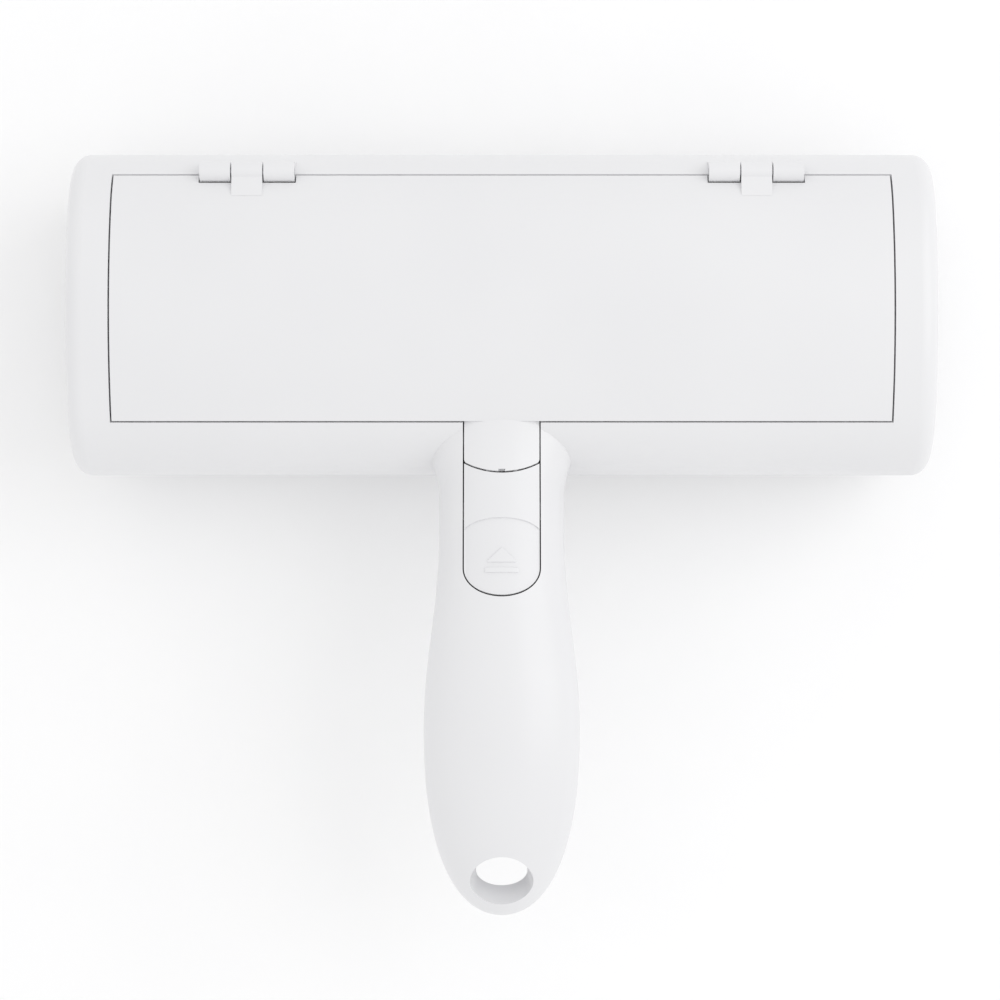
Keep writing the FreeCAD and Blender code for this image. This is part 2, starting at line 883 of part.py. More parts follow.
def handle_lower_shell():
    shell = handle_loft(0).cut(handle_loft(handle_wall))
    shell = shell.common(parting_cylinder(-parting_gap / 2))
    inside = handle_loft(handle_wall / 2)
    lower = []
    for s in screw_spots():
        boss = radial(
            s, screw_head_radius + screw_recess_clearance + boss_wall,
            -bulge_thickness, -parting_gap / 2,
        )
        lower.append(boss.common(inside))
    lower.append(hang_tube().common(inside).common(parting_cylinder(-parting_gap / 2)))
    lower.append(latch_guide().common(inside))
    for x in (-neck_screw_spread, neck_screw_spread):
        boss = neck_along_y(x, screw_radius + boss_wall, -neck_boss_length(), wall)
        lower.append(boss.common(inside))
    peg = Part.makeCylinder(
        spring_peg_radius, spring_peg_length + 0.5,
        local(0, spring_seat_at() + 0.5, -spring_axis_depth()), chord * -1,
    )
    lower.append(peg)
    shell = shell.fuse(lower)
    holes = hang_hole()
    holes.append(head_prism(0, rim_height, head_length))
    for s in screw_spots():
        holes.append(radial(s, screw_radius + screw_hole_clearance, -bulge_thickness, 1))
        holes.append(
            radial(
                s, screw_head_radius + screw_recess_clearance, -bulge_thickness, screw_seat(s)
            )
        )
    for x in (-neck_screw_spread, neck_screw_spread):
        holes.append(neck_along_y(x, screw_radius, 1.2 - neck_boss_length(), wall))
    return shell.cut(holes)


def neck_boss_length():
    """How far the neck screws' bosses reach into the handle."""
    return neck_screw_length - wall - neck_pad_height + 1.7


# Thumb release

def pad_prism():
    """Outline of the thumb pad: an arched front edge that runs out at the sides, open at the back."""
    half = button_width / 2 + 0.35
    arch_b = button_length - pad_length + pad_arch
    low = -button_wall

    def at(x, b):
        return local(x, b, low)

    edges = [
        half_oval(half, -pad_arch, arch_b, low),
        line(at(-half, arch_b), at(-half, button_length + 1)),
        line(at(-half, button_length + 1), at(half, button_length + 1)),
        line(at(half, button_length + 1), at(half, arch_b)),
    ]
    return Part.Face(Part.Wire(edges)).extrude(chord_normal * (3 * button_wall))


def release_button():
    skin = handle_loft(0).cut(handle_loft(button_wall))
    panel = panel_prism(0, 0, -8, 8).common(skin)
    step = pad_prism().common(handle_loft(0)).cut(handle_loft(pad_step))
    panel = panel.cut(step)
    boss = local_pin(pivot_boss_radius, pivot_boss_width / 2, pivot_at, -pivot_depth)
    web = local_block(
        pivot_boss_width / 2, pivot_at - pivot_boss_radius * 0.6,
        pivot_at + pivot_boss_radius * 0.6, -pivot_depth, 0,
    ).common(handle_loft(button_wall / 2))
    tip = ramp_at + (latch_depth - finger_depth) - ramp_clearance
    back = tip + finger_chamfer
    finger = local_profile(
        [
            (tip - finger_length, -button_wall / 2),
            (tip - finger_length, -finger_depth),
            (tip, -finger_depth),
            (back, -finger_depth + finger_chamfer),
            (back, -button_wall / 2),
        ],
        finger_width / 2,
    ).common(handle_loft(button_wall / 2))
    bore = local_pin(pivot_radius + running_clearance, button_width, pivot_at, -pivot_depth)
    return panel.fuse([boss, web, finger]).cut(bore)


def pivot_half_length():
    return pivot_boss_width / 2 + 0.4 + ear_thickness


def button_pivot_pin():
    return local_pin(pivot_radius, pivot_half_length(), pivot_at, -pivot_depth)


def latch_slider():
    back = ramp_at + ramp_height + ramp_back
    bottom = -latch_depth - latch_thickness
    plate = local_block(latch_width / 2, latch_front, back, bottom, -latch_depth)
    nose_low = -catch_depth + catch_nose_height + latch_play
    nose_high = nose_low + latch_nose_height
    catch_tip = -catch_setback + catch_nose
    nose_tip = catch_tip - latch_overlap
    arm = local_profile(
        [
            (latch_front, bottom),
            (latch_front + latch_arm_thickness, bottom),
            (latch_front + latch_arm_thickness, nose_high),
            (nose_tip + latch_nose_height * 0.6, nose_high),
            (nose_tip, nose_low),
            (latch_front, nose_low),
        ],
        latch_arm_width / 2,
    )
    ramp = local_profile(
        [
            (ramp_at, -latch_depth),
            (ramp_at, bottom),
            (back, bottom),
            (back, -latch_depth + ramp_height),
            (back - ramp_back, -latch_depth + ramp_height),
        ],
        latch_width / 2,
    )
    return plate.fuse([arm, ramp])


def latch_spring():
    """Compression spring between the slide and its seat."""
    pitch = (spring_length - spring_wire) / spring_turns
    radius = spring_radius - spring_wire / 2
    helix = Part.makeHelix(pitch, spring_length - spring_wire, radius)
    start = Vector(radius, 0, 0)
    corners = []
    for index in range(7):
        turn = math.radians(60 * index)
        reach = Vector(math.cos(turn), 0, math.sin(turn)) * (spring_wire / 2)
        corners.append(start + reach)
    section = Part.makePolygon(corners)
    coil = Part.Wire(helix).makePipeShell([section], True, True)
    coil.translate(Vector(0, 0, spring_wire / 2))
    turn = FreeCAD.Rotation(Vector(0, 0, 1), chord)
    coil.Placement = FreeCAD.Placement(
        local(0, spring_start(), -spring_axis_depth()), turn
    ).multiply(coil.Placement)
    return coil


# Fasteners

def screw(head_centre, direction, length):
    """Round-headed screw; direction points from the head's underside along the shank."""
    head = Part.makeCylinder(
        screw_head_radius, screw_head_height,
        head_centre - direction * screw_head_height, direction,
    )
    shank = Part.makeCylinder(screw_radius, length, head_centre, direction)
    cross = Vector(1, 0, 0)
    across = direction.cross(cross)
    top = head_centre - direction * (screw_head_height + 0.01)
    slots = []
    for a, b in ((cross, across), (across, cross)):
        reach = a * (screw_head_radius * 0.7)
        half = b * (slot_width / 2)
        corners = [top - reach - half, top + reach - half, top + reach + half, top - reach + half]
        slots.append(polygon_prism(corners, direction * slot_depth))
    rim = [edge for edge in head.Edges if edge.Closed]
    outer = max(rim, key=lambda edge: (edge.CenterOfMass - head_centre).Length)
    head = head.makeFillet(screw_head_height * 0.4, [outer])
    return head.fuse(shank).cut(slots)


def handle_screw(s):
    seat = handle_centre(s) + handle_normal(s) * screw_seat(s)
    return screw(seat, handle_normal(s), screw_length)


def neck_screw(x):
    seat_y = neck_wall_y() + wall + neck_pad_height
    return screw(Vector(x, seat_y, neck_screw_height), Vector(0, -1, 0), neck_screw_length)


def build():
    room = tongue_room()
    cap = end_cap()
    axle = drum_axle()
    parts = {
        "head_housing": head_housing(room),
        "lid": lid(),
        "right_end_cap": cap,
        "left_end_cap": mirrored(cap),
        "right_drum_axle": axle,
        "left_drum_axle": mirrored(axle),
        "left_hinge_pin": hinge_pin(-1),
        "right_hinge_pin": hinge_pin(1),
        "drum_core": drum_core(),
        "drum_front_pile": drum_pile(1),
        "drum_rear_pile": drum_pile(-1),
        "front_edge_strip": edge_strip(1),
        "rear_edge_strip": edge_strip(-1),
        "handle_upper_shell": handle_upper_shell(),
        "handle_lower_shell": handle_lower_shell(),
        "release_button": release_button(),
        "button_pivot_pin": button_pivot_pin(),
        "latch_slider": latch_slider(),
        "latch_spring": latch_spring(),
        "handle_screw_front": handle_screw(screw_front_at),
        "handle_screw_rear": handle_screw(screw_rear_at),
        "left_neck_screw": neck_screw(-neck_screw_spread),
        "right_neck_screw": neck_screw(neck_screw_spread),
    }
    os.makedirs("parts", exist_ok=True)
    for name, shape in parts.items():
        moved = shape.copy()
        moved.translate(Vector(0, -footprint_mid_y, 0))
        moved.exportStep("parts/" + name + ".step")
    return parts


if __name__ == "__main__":
    build()
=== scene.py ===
import math

import bpy
import numpy as np
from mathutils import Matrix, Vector
from mathutils.bvhtree import BVHTree


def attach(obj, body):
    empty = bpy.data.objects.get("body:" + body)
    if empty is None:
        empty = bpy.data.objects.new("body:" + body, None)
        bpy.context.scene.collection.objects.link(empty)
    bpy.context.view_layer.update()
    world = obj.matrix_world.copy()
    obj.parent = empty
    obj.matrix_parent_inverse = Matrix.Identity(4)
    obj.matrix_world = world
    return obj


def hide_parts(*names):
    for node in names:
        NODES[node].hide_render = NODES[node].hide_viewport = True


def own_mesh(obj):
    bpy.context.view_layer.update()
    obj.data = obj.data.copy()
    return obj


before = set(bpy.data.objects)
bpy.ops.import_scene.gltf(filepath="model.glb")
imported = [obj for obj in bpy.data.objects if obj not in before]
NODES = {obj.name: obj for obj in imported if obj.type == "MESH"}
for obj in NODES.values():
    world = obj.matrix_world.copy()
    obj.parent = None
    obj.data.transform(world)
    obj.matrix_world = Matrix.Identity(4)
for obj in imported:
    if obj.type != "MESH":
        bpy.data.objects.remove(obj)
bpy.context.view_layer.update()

MM = 0.001

# Places and sizes that part.py gives, in the same frame, in millimetres and degrees
DRUM_AXIS_Y = 50.045
DRUM_AXIS_Z = 31.0
DRUM_CORE_RADIUS = 29.0
DRUM_PILE_HALF_LENGTH = 85.8
DRUM_PILE_FIRST_ANGLE = 2.47
DRUM_PILE_LAST_ANGLE = 57.6
STRIP_MID_FROM_AXIS = 24.099
STRIP_BACKING_HALF_WIDTH = 5.5
STRIP_BACKING_BOTTOM = 2.3
STRIP_BACKING_TOP = 3.0
STRIP_HALF_LENGTH = 83.6
RELEASE_ORIGIN = (0.0, 13.245, 58.197)
RELEASE_ALONG = (0.0, -0.982138, 0.188162)
RELEASE_NORMAL = (0.0, 0.188162, 0.982138)
# The latch spring's front end, along the release and below it from the release's origin
SPRING_START = 25.4
SPRING_DEPTH = 8.2
SPRING_LENGTH = 6.6
SPRING_COIL_RADIUS = 1.95
SPRING_WIRE_RADIUS = 0.25
SPRING_CLOSED_TURNS = 1.0
SPRING_ACTIVE_TURNS = 4.0

# Fibres of both kinds of pile. Lengths are in millimetres, the turn and the spin in radians,
# tilts in degrees from upright, and a shade is 0 for the dark colour and 1 for the light one
FIBRE_WIDTHS = (0.12, 0.2)
FIBRE_TURN = 0.22
FIBRE_SPIN = 0.9
# painted shade along each fibre, over its corners from root to tip: dark at the root, light at the tip
FIBRE_SHADES = (0.08, 0.08, 0.55, 0.55, 0.95)
FIBRE_SHADE_SPREAD = 0.16
FIBRE_SEGMENT = 0.55
FIBRE_FIRST_BEND = 0.6
FIBRE_LAST_BEND = 1.35
FIBRE_TAPER = 0.8
GROUND_SHADE = 0.3
DRUM_GROUND_THICKNESS = 0.55
DRUM_FIBRE_HEIGHT = 1.62
DRUM_FIBRE_TILTS = (26.0, 42.0)
DRUM_FIBRES_PER_MM2 = 9.6
DRUM_PILE_INSET = 0.12
EDGE_FIBRE_HEIGHT = 2.42
EDGE_FIBRE_TILTS = (14.0, 30.0)
EDGE_FIBRES_PER_MM2 = 12.5
EDGE_PILE_INSET = 0.15
EDGE_PILE_MARGIN = 0.25
EDGE_SPLAY = 0.35
EDGE_SHORTENING = 0.16

# The camera looks straight down, as in the photograph
CAMERA_HEIGHT = 0.770
CAMERA_X = -0.0004
CAMERA_Y = 0.007045
CAMERA_LENS = 113.3
CAMERA_SENSOR = 36.0


def srgb(value):
    """A colour channel as it shows on screen, as the linear number that a shader takes."""
    return value / 12.92 if value <= 0.04045 else ((value + 0.055) / 1.055) ** 2.4


def linear(r, g, b):
    return (srgb(r), srgb(g), srgb(b), 1.0)


# Materials

class Graph:
    """A material's nodes, made and joined in few words."""

    def __init__(self, name):
        self.material = bpy.data.materials.new(name)
        self.material.use_nodes = True
        self.tree = self.material.node_tree
        self.tree.nodes.clear()
        self.out = self.tree.nodes.new("ShaderNodeOutputMaterial")
        self.shader = self.tree.nodes.new("ShaderNodeBsdfPrincipled")
        self.join(self.shader.outputs["BSDF"], self.out.inputs["Surface"])
        self.place = self.tree.nodes.new("ShaderNodeTexCoord").outputs["Object"]

    def join(self, a, b):
        self.tree.links.new(a, b)

    def set(self, **values):
        for key, value in values.items():
            self.shader.inputs[key.replace("_", " ")].default_value = value

    def noise(self, scale, detail=3.0, roughness=0.5):
        node = self.tree.nodes.new("ShaderNodeTexNoise")
        node.inputs["Scale"].default_value = scale
        node.inputs["Detail"].default_value = detail
        node.inputs["Roughness"].default_value = roughness
        self.join(self.place, node.inputs["Vector"])
        return node.outputs["Fac"]

    def wave(self, scale, direction):
        node = self.tree.nodes.new("ShaderNodeTexWave")
        node.bands_direction = direction
        node.inputs["Scale"].default_value = scale
        self.join(self.place, node.inputs["Vector"])
        return node.outputs["Fac"]

    def spread(self, value, low, high, start=0.3, end=0.7):
        node = self.tree.nodes.new("ShaderNodeMapRange")
        node.inputs["From Min"].default_value = start
        node.inputs["From Max"].default_value = end
        node.inputs["To Min"].default_value = low
        node.inputs["To Max"].default_value = high
        self.join(value, node.inputs["Value"])
        return node.outputs["Result"]

    def math(self, operation, a, b):
        node = self.tree.nodes.new("ShaderNodeMath")
        node.operation = operation
        for socket, value in zip(node.inputs, (a, b)):
            if isinstance(value, (int, float)):
                socket.default_value = value
            else:
                self.join(value, socket)
        return node.outputs["Value"]

    def between(self, factor, first, second):
        node = self.tree.nodes.new("ShaderNodeMix")
        node.data_type = "RGBA"
        self.join(factor, node.inputs["Factor"])
        for socket, colour in ((node.inputs[6], first), (node.inputs[7], second)):
            if isinstance(colour, tuple):
                socket.default_value = colour
            else:
                self.join(colour, socket)
        return node.outputs[2]

    def bump(self, *layers):
        """Each layer is (height, strength, distance in metres)."""
        normal = None
        for height, strength, distance in layers:
            node = self.tree.nodes.new("ShaderNodeBump")
            node.inputs["Strength"].default_value = strength
            node.inputs["Distance"].default_value = distance
            self.join(height, node.inputs["Height"])
            if normal is not None:
                self.join(normal, node.inputs["Normal"])
            normal = node.outputs["Normal"]
        self.join(normal, self.shader.inputs["Normal"])

    def colour(self, socket):
        self.join(socket, self.shader.inputs["Base Color"])

    def roughness(self, socket):
        self.join(socket, self.shader.inputs["Roughness"])


def moulded_plastic(name, light, dark, gloss, coat, grain):
    """Moulded plastic: a faint flow of tone, a soft ripple from the tool and a fine eroded grain."""
    g = Graph(name)
    g.set(Metallic=0.0, IOR=1.53, Specular_IOR_Level=0.5, Coat_Weight=coat, Coat_Roughness=0.22)
    flow = g.noise(26.0, 2.0, 0.5)
    g.colour(g.between(g.spread(flow, 0.0, 1.0), light, dark))
    patch = g.noise(140.0, 3.0, 0.6)
    g.roughness(g.spread(patch, gloss - 0.035, gloss + 0.035))
    ripple = g.noise(420.0, 1.0, 0.4)
    eroded = g.noise(5200.0, 2.0, 0.6)
    g.bump((ripple, 0.10, 0.00006), (eroded, grain, 0.00003))
    return g.material


def plated_steel(name):
    """Zinc plated steel with the fine rings of turning."""
    g = Graph(name)
    g.set(Metallic=1.0, Anisotropic=0.4)
    tone = g.noise(300.0, 3.0, 0.6)
    g.colour(g.between(g.spread(tone, 0.0, 1.0), linear(0.74, 0.74, 0.76), linear(0.6, 0.6, 0.61)))
    g.roughness(g.spread(g.noise(900.0, 2.0, 0.5), 0.24, 0.4))
    g.bump((g.noise(3800.0, 2.0, 0.6), 0.25, 0.00003))
    return g.material


def pile_fibre(name, light, dark, sheen):
    """Cut nylon fibre: each stands a little lighter or darker, and the roots are darkened with painted
    shade.
    """
    g = Graph(name)
    g.set(Roughness=0.62, Sheen_Weight=sheen, Sheen_Roughness=0.4, Specular_IOR_Level=0.35)
    shade = g.tree.nodes.new("ShaderNodeVertexColor")
    shade.layer_name = "shade"
    split = g.tree.nodes.new("ShaderNodeSeparateColor")
    g.join(shade.outputs["Color"], split.inputs["Color"])
    brushed = g.noise(90.0, 3.0, 0.6)
    lift = g.math("ADD", split.outputs["Red"], g.spread(brushed, -0.12, 0.12))
    g.colour(g.between(lift, dark, light))
    g.roughness(g.spread(g.noise(2600.0, 2.0, 0.5), 0.52, 0.72))
    g.bump((g.noise(9000.0, 2.0, 0.5), 0.4, 0.00002))
    return g.material


def woven_backing(name, light, dark):
    """The woven ground that the pile stands in."""
    g = Graph(name)
    g.set(Sheen_Weight=0.2, Specular_IOR_Level=0.3)
    weave = g.math("MULTIPLY", g.wave(550.0, "X"), g.wave(550.0, "Y"))
    g.colour(g.between(g.spread(weave, 0.0, 1.0, 0.0, 0.6), dark, light))
    g.roughness(g.spread(g.noise(1200.0, 2.0, 0.5), 0.7, 0.9))
    g.bump((weave, 0.6, 0.0001), (g.noise(5000.0, 2.0, 0.6), 0.3, 0.00003))
    return g.material


def floor_paper(name):
    g = Graph(name)
    g.set(Specular_IOR_Level=0.2)
    tone = g.noise(30.0, 2.0, 0.5)
    g.colour(g.between(tone, linear(0.985, 0.985, 0.985), linear(0.975, 0.975, 0.977)))
    g.roughness(g.spread(g.noise(200.0, 2.0, 0.5), 0.8, 0.95))
    g.bump((g.noise(1500.0, 2.0, 0.5), 0.05, 0.00002))
    return g.material


BODY = moulded_plastic("body_plastic_satin", linear(0.900, 0.900, 0.906), linear(0.891, 0.891, 0.898),
                       gloss=0.34, coat=0.08, grain=0.10)
RELEASE = moulded_plastic("release_plastic_satin", linear(0.896, 0.896, 0.903),
                          linear(0.886, 0.886, 0.893), gloss=0.38, coat=0.05, grain=0.14)
DRUM = moulded_plastic("drum_plastic_matte", linear(0.83, 0.83, 0.84), linear(0.80, 0.80, 0.81),
                       gloss=0.52, coat=0.0, grain=0.2)
STEEL = plated_steel("plated_steel")
DRUM_FIBRE = pile_fibre("drum_pile_fibre", linear(0.80, 0.80, 0.82), linear(0.50, 0.50, 0.52),
                        sheen=0.5)
DRUM_GROUND = woven_backing("drum_pile_ground", linear(0.66, 0.66, 0.68), linear(0.48, 0.48, 0.5))
EDGE_FIBRE = pile_fibre("edge_pile_fibre", linear(0.36, 0.36, 0.375), linear(0.13, 0.13, 0.14),
                        sheen=0.35)
EDGE_GROUND = woven_backing("edge_pile_ground", linear(0.27, 0.27, 0.28), linear(0.15, 0.15, 0.16))

FINISHES = {
    BODY: ["head_housing", "lid", "right_end_cap", "left_end_cap", "handle_upper_shell",
           "handle_lower_shell"],
    RELEASE: ["release_button"],
    DRUM: ["drum_core", "latch_slider"],
    STEEL: ["right_drum_axle", "left_drum_axle", "left_hinge_pin", "right_hinge_pin",
            "button_pivot_pin", "handle_screw_front", "handle_screw_rear",
            "left_neck_screw", "right_neck_screw"],
}
for finish, names in FINISHES.items():
    for node_name in names:
        for material_slot in NODES[node_name].material_slots:
            material_slot.material = finish


# Pieces

def new_object(name, vertices, faces, materials):
    mesh = bpy.data.meshes.new(name)
    mesh.from_pydata([tuple(v) for v in vertices], [], faces)
    for m in materials:
        mesh.materials.append(m)
    mesh.update()
    made = bpy.data.objects.new(name, mesh)
    bpy.context.scene.collection.objects.link(made)
    return made


def sheet_shell(across, along, inner, outer):
    """A closed curved sheet. inner and outer give the point at (across, along), both from 0 to 1."""
    us = np.linspace(0.0, 1.0, across + 1)
    vs = np.linspace(0.0, 1.0, along + 1)
    points = [inner(u, v) for v in vs for u in us] + [outer(u, v) for v in vs for u in us]
    wide = across + 1
    top = wide * (along + 1)
    faces = []
    for j in range(along):
        for i in range(across):
            a = j * wide + i
            faces.append((a, a + wide, a + wide + 1, a + 1))
            faces.append((top + a, top + a + 1, top + a + wide + 1, top + a + wide))
    rim = list(range(wide))
    rim += [j * wide + across for j in range(1, along + 1)]
    rim += [along * wide + i for i in range(across - 1, -1, -1)]
    rim += [j * wide for j in range(along - 1, 0, -1)]
    for k, a in enumerate(rim):
        b = rim[(k + 1) % len(rim)]
        faces.append((a, b, top + b, top + a))
    return points, faces


def blades(root, normal, lean, side, height, width, tilt):
    """Fibres as narrow blades that bend over. The arguments are arrays with a row for each fibre.
    lean is the way the fibre bends and side the way its width lies. Gives points and faces."""
    count = len(root)
    angle = np.radians(tilt)[:, None]
    first, last = angle * FIBRE_FIRST_BEND, angle * FIBRE_LAST_BEND
    segment = (height * FIBRE_SEGMENT)[:, None]
    middle = root + (normal * np.cos(first) + lean * np.sin(first)) * segment
    tip = middle + (normal * np.cos(last) + lean * np.sin(last)) * segment
    half = side * (width / 2)[:, None]
    narrow = half * FIBRE_TAPER
    points = np.stack([root - half, root + half, middle + narrow, middle - narrow, tip], axis=1)
    base = np.arange(count)[:, None] * 5
    quads = base + np.array([[0, 1, 2, 3]])
    tips = base + np.array([[3, 2, 4]])
    return points.reshape(-1, 3), quads, tips


def shade_of(rng, count):
    """Brightness of each blade's five corners: painted shade, dark at the root and light at the tip,
    with each blade a little lighter or darker at random.
    """
    own = rng.uniform(-FIBRE_SHADE_SPREAD, FIBRE_SHADE_SPREAD, count)[:, None]
    steps = np.array([FIBRE_SHADES])
    return np.clip(steps + own, 0.0, 1.0).reshape(-1)


def pile_piece(name, shell, fibres, shade, ground, fibre, body, node):
    """One cut pile: its woven ground and its fibres, as one piece that stands for the CAD node."""
    points, faces = shell
    blade_points, quads, tips = fibres
    start = len(points)
    every = np.vstack([np.array(points), blade_points]) * MM
    every_face = [tuple(f) for f in faces]
    every_face += [tuple(int(i) + start for i in q) for q in quads]
    every_face += [tuple(int(i) + start for i in t) for t in tips]
    made = new_object(name, every, every_face, [ground, fibre])
    mesh = made.data
    kinds = np.zeros(len(every_face), dtype=np.int32)
    kinds[len(faces):] = 1
    mesh.polygons.foreach_set("material_index", kinds)
    layer = mesh.color_attributes.new("shade", "FLOAT_COLOR", "POINT")
    tone = np.ones((len(every), 4), dtype=np.float32)
    tone[:start, :3] = GROUND_SHADE
    tone[start:, :3] = shade[:, None]
    layer.data.foreach_set("color", tone.reshape(-1))
    mesh.update()
    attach(made, body)
    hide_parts(node)


def jittered(rng, length, width, per_mm2):
    """Evenly spread places on a length by width strip, each moved a little from its row."""
    step = 1.0 / math.sqrt(per_mm2)
    rows = max(2, int(width / step))
    columns = max(2, int(length / step))
    u, v = np.meshgrid(np.arange(columns), np.arange(rows))
    u = (u.reshape(-1) + rng.uniform(0.05, 0.95, u.size)) / columns
    v = (v.reshape(-1) + rng.uniform(0.05, 0.95, v.size)) / rows
    return u * length, v * width


def drum_pile(name, node, way, seed):
    """The pile on one half of the drum. way is +1 for the front half and -1 for the rear one."""
    rng = np.random.default_rng(seed)
    first, last = math.radians(DRUM_PILE_FIRST_ANGLE), math.radians(DRUM_PILE_LAST_ANGLE)
    ground_radius = DRUM_CORE_RADIUS + DRUM_GROUND_THICKNESS

    def at(radius):
        def point(u, v):
            angle = first + (last - first) * u
            return (-DRUM_PILE_HALF_LENGTH + 2 * DRUM_PILE_HALF_LENGTH * v,
                    DRUM_AXIS_Y + way * radius * math.sin(angle),
                    DRUM_AXIS_Z - radius * math.cos(angle))
        return point

    shell = sheet_shell(36, 60, at(DRUM_CORE_RADIUS + 0.02), at(ground_radius))
    arc = ground_radius * (last - first)
    inset = DRUM_PILE_INSET
    x, s = jittered(rng, 2 * DRUM_PILE_HALF_LENGTH - 2 * inset, arc - 2 * inset, DRUM_FIBRES_PER_MM2)
    x = x - DRUM_PILE_HALF_LENGTH + inset
    angle = first + (s + inset) / ground_radius
    zero = np.zeros_like(angle)
    normal = np.stack([zero, way * np.sin(angle), -np.cos(angle)], axis=1)
    axis_points = np.stack([x, zero + DRUM_AXIS_Y, zero + DRUM_AXIS_Z], axis=1)
    root = axis_points + normal * (ground_radius - 0.05)
    outward = np.stack([zero, way * np.cos(angle), np.sin(angle)], axis=1)
    count = len(x)
    along_x = np.array([[1.0, 0.0, 0.0]])
    turn = rng.normal(0.0, FIBRE_TURN, count)
    lie = outward * np.cos(turn)[:, None] + along_x * np.sin(turn)[:, None]
    spin = rng.uniform(-FIBRE_SPIN, FIBRE_SPIN, count)
    side = along_x * np.cos(spin)[:, None] + outward * np.sin(spin)[:, None]
    # the pile's height waves a little along the drum and round it
    wave = 0.06 * np.sin(x * 0.21 + 1.3 * np.sin(s * 0.35)) + 0.05 * np.sin(s * 0.6 + x * 0.07)
    height = (DRUM_FIBRE_HEIGHT + wave) * rng.uniform(0.9, 1.05, count)
    width = rng.uniform(*FIBRE_WIDTHS, count)
    tilt = rng.uniform(*DRUM_FIBRE_TILTS, count)
    fibres = blades(root, normal, lie, side, height, width, tilt)
    pile_piece(name, shell, fibres, shade_of(rng, count), DRUM_GROUND, DRUM_FIBRE,
               "drum", node)


def edge_pile(name, node, way, seed):
    """The pile strip on one lip of the mouth, which leans to the drum. way is +1 for the front lip."""
    rng = np.random.default_rng(seed)
    middle = DRUM_AXIS_Y + way * STRIP_MID_FROM_AXIS

    def at(z, half_width, half_length):
        def point(u, v):
            return ((2 * v - 1) * half_length, middle + (2 * u - 1) * half_width, z)
        return point

    backing_half_width = STRIP_BACKING_HALF_WIDTH - 0.05
    shell = sheet_shell(12, 60, at(STRIP_BACKING_TOP - 0.02, backing_half_width, STRIP_HALF_LENGTH),
                        at(STRIP_BACKING_BOTTOM + 0.1, backing_half_width, STRIP_HALF_LENGTH))
    inset = EDGE_PILE_INSET
    pile_half_width = STRIP_BACKING_HALF_WIDTH - EDGE_PILE_MARGIN
    x, s = jittered(rng, 2 * (STRIP_HALF_LENGTH - inset), 2 * pile_half_width, EDGE_FIBRES_PER_MM2)
    x = x - STRIP_HALF_LENGTH + inset
    across = s - pile_half_width
    count = len(x)
    zero = np.zeros(count)
    root = np.stack([x, middle + across, zero + STRIP_BACKING_BOTTOM + 0.15], axis=1)
    # the outermost fibres splay, so the strip's edge is rounded
    splay = across / STRIP_BACKING_HALF_WIDTH
    normal = np.stack([zero, EDGE_SPLAY * splay ** 3, zero - 1.0], axis=1)
    normal /= np.linalg.norm(normal, axis=1)[:, None]
    turn = rng.normal(0.0, FIBRE_TURN, count)
    lie = np.stack([np.sin(turn), -way * np.cos(turn), zero], axis=1)
    spin = rng.uniform(-FIBRE_SPIN, FIBRE_SPIN, count)
    side = np.stack([np.cos(spin), np.sin(spin), zero], axis=1)
    short = 1.0 - EDGE_SHORTENING * np.abs(splay) ** 4
    height = EDGE_FIBRE_HEIGHT * short * rng.uniform(0.9, 1.02, count)
    width = rng.uniform(*FIBRE_WIDTHS, count)
    tilt = rng.uniform(*EDGE_FIBRE_TILTS, count)
    fibres = blades(root, normal, lie, side, height, width, tilt)
    # no fibre reaches below what the brush stands on
    fibres[0][:, 2] = np.maximum(fibres[0][:, 2], 0.0)
    pile_piece(name, shell, fibres, shade_of(rng, count), EDGE_GROUND, EDGE_FIBRE,
               "head", node)


drum_pile("drum_front_pile_fibres", "drum_front_pile", 1.0, 11)
drum_pile("drum_rear_pile_fibres", "drum_rear_pile", -1.0, 12)
edge_pile("front_edge_pile_fibres", "front_edge_strip", 1.0, 13)
edge_pile("rear_edge_pile_fibres", "rear_edge_strip", -1.0, 14)


# The raised open sign on the release's pad: a triangle over a bar

SIGN_RELIEF = 0.3
SIGN_EDGE = 0.16
SIGN_FOOT = 0.25
SIGN_STEP = 0.5
SIGN_RAY_START = 12.0
TRIANGLE_APEX = 17.1
TRIANGLE_HEIGHT = 3.4
TRIANGLE_WIDTH = 7.3
TRIANGLE_CORNER = 0.25
SIGN_GAP = 1.2
BAR_HEIGHT = 1.15
BAR_WIDTH = 7.7
BAR_CORNER = 0.2


def rounded(corners, radius, steps=5):
    """A convex outline with each corner rounded off."""
    outline = []
    for i, corner in enumerate(corners):
        p = Vector(corner)
        before = (Vector(corners[i - 1]) - p).normalized()
        after = (Vector(corners[(i + 1) % len(corners)]) - p).normalized()
        half = before.angle(after) / 2
        reach = radius / math.tan(half)
        centre = p + (before + after).normalized() * (radius / math.sin(half))
        start = p + before * reach - centre
        end = p + after * reach - centre
        for k in range(steps + 1):
            t = k / steps
            way = (start * (1 - t) + end * t).normalized() * radius
            outline.append(centre + way)
    return outline


def refined(outline, longest):
    """The outline with its long sides divided."""
    made = []
    for i, p in enumerate(outline):
        q = outline[(i + 1) % len(outline)]
        parts = max(1, int((q - p).length / longest))
        made += [p + (q - p) * (k / parts) for k in range(parts)]
    return made


